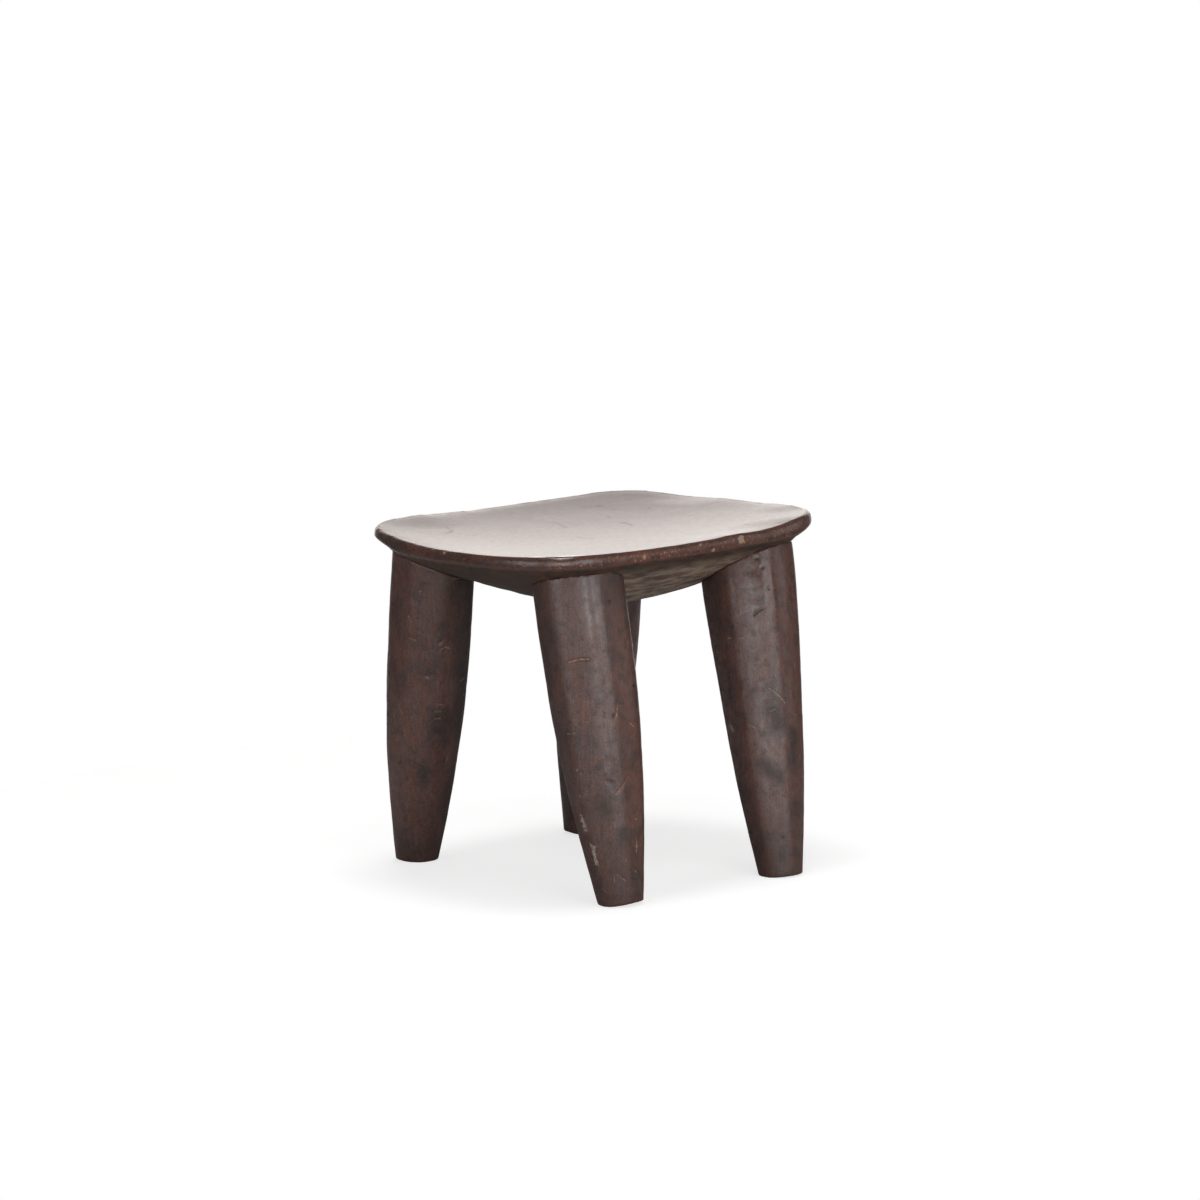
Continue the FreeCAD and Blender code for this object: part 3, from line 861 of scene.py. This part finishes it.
def mix_colour(tree, share, first, second, blend="MIX"):
    """Two colours mixed by a share."""
    factor, colour_a, colour_b, result = 0, 6, 7, 2
    inputs = {factor: share, colour_a: first, colour_b: second}
    node = add_node(tree, "ShaderNodeMix", inputs, data_type="RGBA", blend_type=blend)
    return node.outputs[result]


def calculate(tree, operation, first, second=0.0):
    """A number worked out from one or two others."""
    return add_node(tree, "ShaderNodeMath", {0: first, 1: second}, operation=operation).outputs[0]


def ranged(tree, value, low, high, to_low=0.0, to_high=1.0):
    """A number moved from one range to another, eased and kept inside it."""
    inputs = {"Value": value, "From Min": low, "From Max": high, "To Min": to_low, "To Max": to_high}
    node = add_node(tree, "ShaderNodeMapRange", inputs, interpolation_type="SMOOTHSTEP")
    return node.outputs["Result"]


def stretched(tree, vector, stretch):
    """Places drawn out along each direction whose number is below one."""
    return add_node(tree, "ShaderNodeMapping", {"Vector": vector, "Scale": stretch}).outputs["Vector"]


def speckle(tree, vector, size, detail):
    """Noise that changes over about that size in metres."""
    inputs = {"Vector": vector, "Scale": 1.0 / size, "Detail": detail, "Roughness": TEXTURE_ROUGHNESS}
    return add_node(tree, "ShaderNodeTexNoise", inputs).outputs["Fac"]


def attribute(tree, name):
    """A number stored on the mesh."""
    return add_node(tree, "ShaderNodeAttribute", attribute_name=name).outputs["Fac"]


def wood_textures(tree, grain):
    """The textures of carved wood by name."""
    even = add_node(tree, "ShaderNodeTexCoord").outputs["Object"]
    places = {
        "even": even,
        "grain": stretched(tree, even, grain),
        "patchy": stretched(tree, even, [max(share, PATCH_STRETCH) for share in grain]),
    }
    textures = {}
    for name, (drawn, size, detail) in TEXTURES.items():
        textures[name] = speckle(tree, places[drawn], size * MM, detail)
    return textures


def wood_shares(tree, textures):
    """The shares and shades of carved wood by name."""
    shares = {}
    for name, (texture, *ranges) in SHARES.items():
        shares[name] = ranged(tree, textures[texture], *ranges)
    return shares


def darkness(tree, shares):
    """How dark stains, the grime in hollows and painted shade make the wood."""
    dark = calculate(tree, "MAXIMUM", attribute(tree, "grime_and_shade"), attribute(tree, "stain_and_shade"))
    return calculate(tree, "MULTIPLY", dark, shares["dark"])


def base_colour(tree, textures, shares):
    """Brown wood in patches with red-brown, soot and fine red lines in it, and grain over all."""
    colour = mix_colour(tree, shares["brown"], CHARCOAL, DEEP_BROWN)
    colour = mix_colour(tree, shares["red"], colour, RED_BROWN)
    colour = mix_colour(tree, shares["soot"], colour, SOOT_AND_SHADE)
    off_line = calculate(tree, "SUBTRACT", textures["crackle"], CRACKLE_MIDDLE)
    off_line = calculate(tree, "ABSOLUTE", off_line)
    red_line = ranged(tree, off_line, 0.0, CRACKLE_WIDTH, CRACKLE_SHARE, 0.0)
    colour = mix_colour(tree, red_line, colour, RED_BROWN)
    grain = calculate(tree, "ADD", shares["grain"], shares["fine_grain"])
    shade = add_node(tree, "ShaderNodeCombineColor", {0: grain, 1: grain, 2: grain}).outputs[0]
    return mix_colour(tree, 1.0, colour, shade, "MULTIPLY")


def worn_colour(tree, colour, shares, dark):
    """Red-brown where the finish is worn, with soot left on it, and soot in stains, hollows and painted
    shade.
    """
    worn = attribute(tree, "worn")
    colour = mix_colour(tree, calculate(tree, "MULTIPLY", worn, shares["worn"]), colour, RED_BROWN)
    colour = mix_colour(tree, dark, colour, SOOT_AND_SHADE)
    return mix_colour(tree, calculate(tree, "MULTIPLY", worn, shares["worn_soot"]), colour, SOOT_AND_SHADE)


def hull_colour(tree, colour, shares):
    """Brown and soot on the rough underside, partly painted shade, and paler wood on its hewn side, partly a
    painted pool of light.
    """
    hull = mix_colour(tree, shares["hull"], SOOT_AND_SHADE, HULL_BROWN)
    colour = mix_colour(tree, attribute(tree, "rough"), colour, hull)
    hewn_and_lit = calculate(tree, "MULTIPLY", attribute(tree, "hewn_and_lit"), shares["hewn_and_lit"])
    return mix_colour(tree, hewn_and_lit, colour, HEWN_AND_LIT_WOOD)


def marked_colour(tree, colour, shares):
    """Bare wood in flecks, scratches and the rim's chips, and paler wood in the legs' chips."""
    ragged = calculate(tree, "ADD", shares["fine_ragged"], shares["dust_ragged"])
    bare = calculate(tree, "ADD", attribute(tree, "bare"), ragged)
    bare = ranged(tree, bare, 0.0, BARE_FULL, 0.0, BARE_SHARE)
    line = ranged(tree, attribute(tree, "line"), LINE_STARTS, LINE_FULL)
    line = calculate(tree, "MULTIPLY", line, shares["line"])
    specks = calculate(tree, "MULTIPLY", shares["specks"], attribute(tree, "fleck"))
    shown = calculate(tree, "MAXIMUM", calculate(tree, "MAXIMUM", bare, line), specks)
    colour = mix_colour(tree, shown, colour, BARE_WOOD)
    broken = calculate(tree, "MULTIPLY", ragged, PALE_RAGGED)
    pale = calculate(tree, "ADD", attribute(tree, "pale"), broken)
    pale = ranged(tree, pale, 0.0, PALE_FULL, 0.0, PALE_SHARE)
    return mix_colour(tree, pale, colour, PALE_WOOD)


def wood_roughness(tree, shares, dark, roughness):
    """Uneven roughness, less on the top and where hands polish, more in the dark and underneath."""
    top = attribute(tree, "top")
    off_top = calculate(tree, "SUBTRACT", 1.0, top)
    uneven = calculate(tree, "MULTIPLY", shares["uneven_gloss"], off_top)
    uneven = calculate(tree, "ADD", uneven, calculate(tree, "MULTIPLY", shares["top_gloss"], top))
    even = ranged(tree, top, 0.0, 1.0, roughness, roughness - TOP_POLISH)
    gloss = calculate(tree, "ADD", uneven, even)
    dull = calculate(tree, "MULTIPLY", dark, DARK_DULLNESS)
    dull = calculate(tree, "MAXIMUM", attribute(tree, "rough"), dull)
    gloss = calculate(tree, "ADD", gloss, calculate(tree, "MULTIPLY", dull, DULL_ROUGHNESS))
    polish = calculate(tree, "MULTIPLY", attribute(tree, "gloss"), POLISH_ROUGHNESS)
    return calculate(tree, "SUBTRACT", gloss, polish)


def wood_relief(tree, textures):
    """Fine bumps, fainter on the top and where the wood is polished."""
    height = calculate(tree, "MULTIPLY", textures["fine"], FINE_RELIEF)
    height = calculate(tree, "ADD", height, textures["dust"])
    polish = calculate(tree, "MAXIMUM", attribute(tree, "top"), attribute(tree, "gloss"))
    strength = ranged(tree, polish, 0.0, 1.0, ROUGH_RELIEF, POLISHED_RELIEF)
    inputs = {"Height": height, "Strength": strength, "Distance": RELIEF_DEPTH}
    return add_node(tree, "ShaderNodeBump", inputs).outputs["Normal"]


def empty_material(name):
    """A new material and its empty node tree."""
    material = bpy.data.materials.new(name)
    material.use_nodes = True
    material.node_tree.nodes.clear()
    return material, material.node_tree


def carved_wood(name, grain, roughness):
    """Dark polished wood with grain along one direction, worn edges, marks and grime in the hollows."""
    material, tree = empty_material(name)
    textures = wood_textures(tree, grain)
    shares = wood_shares(tree, textures)
    dark = darkness(tree, shares)
    colour = base_colour(tree, textures, shares)
    colour = worn_colour(tree, colour, shares, dark)
    colour = hull_colour(tree, colour, shares)
    colour = marked_colour(tree, colour, shares)
    inputs = {
        "Base Color": colour,
        "Roughness": wood_roughness(tree, shares, dark, roughness),
        "Normal": wood_relief(tree, textures),
        "IOR": WOOD_IOR,
    }
    shader = add_node(tree, "ShaderNodeBsdfPrincipled", inputs)
    add_node(tree, "ShaderNodeOutputMaterial", {"Surface": shader.outputs[0]})
    return material


def wedge_wood():
    """Plain split wood for the hidden wedges."""
    material, tree = empty_material("wedge_wood")
    even = add_node(tree, "ShaderNodeTexCoord").outputs["Object"]
    streaks = speckle(tree, stretched(tree, even, WEDGE_GRAIN), WEDGE_STREAK, WEDGE_DETAIL)
    inputs = {
        "Base Color": mix_colour(tree, streaks, WEDGE_DARK, WEDGE_LIGHT),
        "Roughness": ranged(tree, streaks, *WEDGE_NOISE, *WEDGE_ROUGHNESS),
        "IOR": WOOD_IOR,
    }
    shader = add_node(tree, "ShaderNodeBsdfPrincipled", inputs)
    add_node(tree, "ShaderNodeOutputMaterial", {"Surface": shader.outputs[0]})
    return material


def add_camera():
    """A camera where the photograph's camera stood."""
    azimuth, elevation, roll = radians(CAMERA_AZIMUTH), radians(CAMERA_ELEVATION), radians(CAMERA_ROLL)
    back = Vector((sin(azimuth) * cos(elevation), -cos(azimuth) * cos(elevation), sin(elevation)))
    level_right = Vector((cos(azimuth), sin(azimuth), 0.0))
    level_up = back.cross(level_right)
    right = level_right * cos(roll) - level_up * sin(roll)
    up = level_right * sin(roll) + level_up * cos(roll)
    pixel_turn = PIXEL_AT_AIM / CAMERA_DISTANCE
    aside = (PHOTO_WIDTH / 2 - AIM_PIXEL[0]) * pixel_turn
    above = (AIM_PIXEL[1] - PHOTO_WIDTH / 2) * pixel_turn
    view_back = (back - right * aside - up * above).normalized()
    view_right = up.cross(view_back).normalized()
    view_up = view_back.cross(view_right)
    lens = bpy.data.cameras.new("camera")
    lens.sensor_width = SENSOR_WIDTH
    lens.lens = SENSOR_WIDTH / (PHOTO_WIDTH * pixel_turn)
    camera = bpy.data.objects.new("camera", lens)
    turn = Matrix((view_right, view_up, view_back)).transposed().to_4x4()
    camera.matrix_world = Matrix.Translation(AIM_POINT + back * CAMERA_DISTANCE) @ turn
    bpy.context.scene.collection.objects.link(camera)
    bpy.context.scene.camera = camera


def add_softbox(name, aside, elevation, width, height, radiance, colour):
    """A flat soft lamp that looks at the stool, so many degrees aside of the camera."""
    turn, tilt = radians(CAMERA_AZIMUTH + aside), radians(elevation)
    towards = Vector((sin(turn) * cos(tilt), -cos(turn) * cos(tilt), sin(tilt)))
    lamp = bpy.data.lights.new(name, "AREA")
    lamp.shape = "RECTANGLE"
    lamp.size = width
    lamp.size_y = height
    lamp.energy = pi * width * height * radiance
    lamp.color = colour
    holder = bpy.data.objects.new(name, lamp)
    holder.location = AIM_POINT + towards * SOFTBOX_DISTANCE
    holder.rotation_euler = towards.to_track_quat("Z", "Y").to_euler()
    holder.visible_camera = False
    bpy.context.scene.collection.objects.link(holder)


def sees_background(tree):
    """Ones for rays by which the camera sees the white background: straight, and in gloss or glass."""
    path = add_node(tree, "ShaderNodeLightPath").outputs
    bounced = calculate(tree, "MAXIMUM", path["Is Glossy Ray"], path["Is Transmission Ray"])
    return path["Is Camera Ray"], bounced


def add_world():
    """White to the camera and in gloss that looks at the wall behind the stool, else a dim studio."""
    world = bpy.data.worlds.new("studio")
    bpy.context.scene.world = world
    world.use_nodes = True
    tree = world.node_tree
    tree.nodes.clear()
    straight, bounced = sees_background(tree)
    towards = add_node(tree, "ShaderNodeTexCoord").outputs["Generated"]
    turn = radians(CAMERA_AZIMUTH)
    behind = {0: towards, 1: (-sin(turn), cos(turn), 0.0)}
    facing = add_node(tree, "ShaderNodeVectorMath", behind, operation="DOT_PRODUCT").outputs["Value"]
    mirrored = calculate(tree, "MULTIPLY", bounced, ranged(tree, facing, WALL_STARTS, WALL_FULL))
    white = calculate(tree, "MAXIMUM", straight, mirrored)
    colour = mix_colour(tree, white, STUDIO_GREY, PURE_WHITE)
    background = add_node(tree, "ShaderNodeBackground", {"Color": colour, "Strength": 1.0})
    add_node(tree, "ShaderNodeOutputWorld", {"Surface": background.outputs[0]})


def floor_paint():
    """Pale paint that glows to the camera, so that the ground is white with a faint shadow."""
    material, tree = empty_material("floor_paint")
    straight, bounced = sees_background(tree)
    seen = calculate(tree, "MAXIMUM", straight, bounced)
    colour = mix_colour(tree, seen, FLOOR_BOUNCE, FLOOR_SEEN)
    paint = add_node(tree, "ShaderNodeBsdfDiffuse", {"Color": colour}).outputs[0]
    strength = calculate(tree, "MULTIPLY", straight, FLOOR_GLOW)
    glow = add_node(tree, "ShaderNodeEmission", {"Color": PURE_WHITE, "Strength": strength}).outputs[0]
    surface = add_node(tree, "ShaderNodeAddShader", {0: paint, 1: glow}).outputs[0]
    add_node(tree, "ShaderNodeOutputMaterial", {"Surface": surface})
    return material


def add_floor():
    """A round flat floor just under the feet."""
    corners = [2 * pi * step / FLOOR_CORNERS for step in range(FLOOR_CORNERS)]
    points = [(FLOOR_RADIUS * cos(turn), FLOOR_RADIUS * sin(turn), FLOOR_LEVEL) for turn in corners]
    mesh = bpy.data.meshes.new("floor")
    mesh.from_pydata(points, [], [range(FLOOR_CORNERS)])
    mesh.materials.append(floor_paint())
    floor = bpy.data.objects.new("floor", mesh)
    bpy.context.scene.collection.objects.link(floor)


def dress(piece, material):
    """Gives a carved piece its material and lets it ride on the stool."""
    piece.data.materials.clear()
    piece.data.materials.append(material)
    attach(piece, "root")


leg_wood = carved_wood("leg_wood", LEG_GRAIN, LEG_ROUGHNESS)
leg_lines = []
for place, leg in enumerate(FACETS, start=1):
    leg_piece, leg_line = carve_leg(leg, LEG_SEED_STEP * place)
    leg_lines.append(leg_line)
    dress(leg_piece, leg_wood)

seat_wood = carved_wood("seat_wood", SEAT_GRAIN, SEAT_ROUGHNESS)
dress(carve_seat(leg_lines), seat_wood)

plain_wood = wedge_wood()
for name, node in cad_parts.items():
    if name.startswith("tenon_wedge"):
        node.data.materials.clear()
        node.data.materials.append(plain_wood)

add_camera()
for name, lamp in LAMPS.items():
    add_softbox(name, *lamp)
add_world()
add_floor()
bpy.context.scene.view_settings.view_transform = "Standard"
